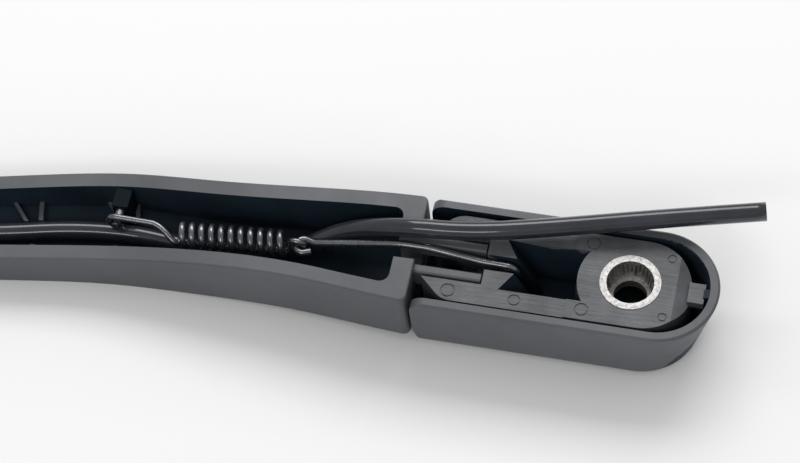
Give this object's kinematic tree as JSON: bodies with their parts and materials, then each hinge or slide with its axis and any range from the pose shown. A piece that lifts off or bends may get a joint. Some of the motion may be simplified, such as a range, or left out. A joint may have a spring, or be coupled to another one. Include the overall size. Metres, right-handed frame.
{
  "type": "wiper arm",
  "caption": "Folding wiper arm with a channel-shaped lever, tension spring, pull link, washer hose and a covered head around a steel spindle bush.",
  "frame": {"origin": "centre of the spindle bush's mouth, on the spindle's axis", "axes": "+Z along the spindle towards the glass, +X from the hinge towards the head's rounded end, so the arm runs along -X"},
  "size_m": [0.3211, 0.0548, 0.0296],
  "materials": {
    "arm_plastic": "fine grained satin black",
    "frame_plastic": "smooth black",
    "bush_steel": "turned, dull",
    "black_steel": "black coated wire and pins",
    "hose_rubber": "smooth, slightly glossy"
  },
  "bodies": {
    "head": {"head_cover": "arm_plastic", "head_frame": "frame_plastic", "spindle_bush": "bush_steel", "hinge_pin": "black_steel", "link_pin": "black_steel"},
    "arm": {"arm": "arm_plastic", "anchor_pin": "black_steel", "washer_hose": "hose_rubber", "jet_nozzle": "frame_plastic"},
    "spring_unit": {"tension_spring": "black_steel", "pull_link": "black_steel"}
  },
  "joints": [
    {"name": "arm_fold", "type": "hinge", "parent": "head", "child": "arm", "pos_m": [-0.039, 0, -0.0123], "axis": [0, -1, 0], "range_deg": [0, 45], "stiffness_Nm_per_rad": 1, "springref_deg": -28.65, "deforming": ["washer_hose"]},
    {"name": "link_swing", "type": "hinge", "parent": "head", "child": "spring_unit", "pos_m": [-0.032, 0, -0.0055], "axis": [0, -1, 0], "range_deg": [0, 42], "deforming": ["tension_spring"]}
  ],
  "couplings": [
    {"joint": "link_swing", "follows": "arm_fold", "ratio": 0.9158}
  ]
}
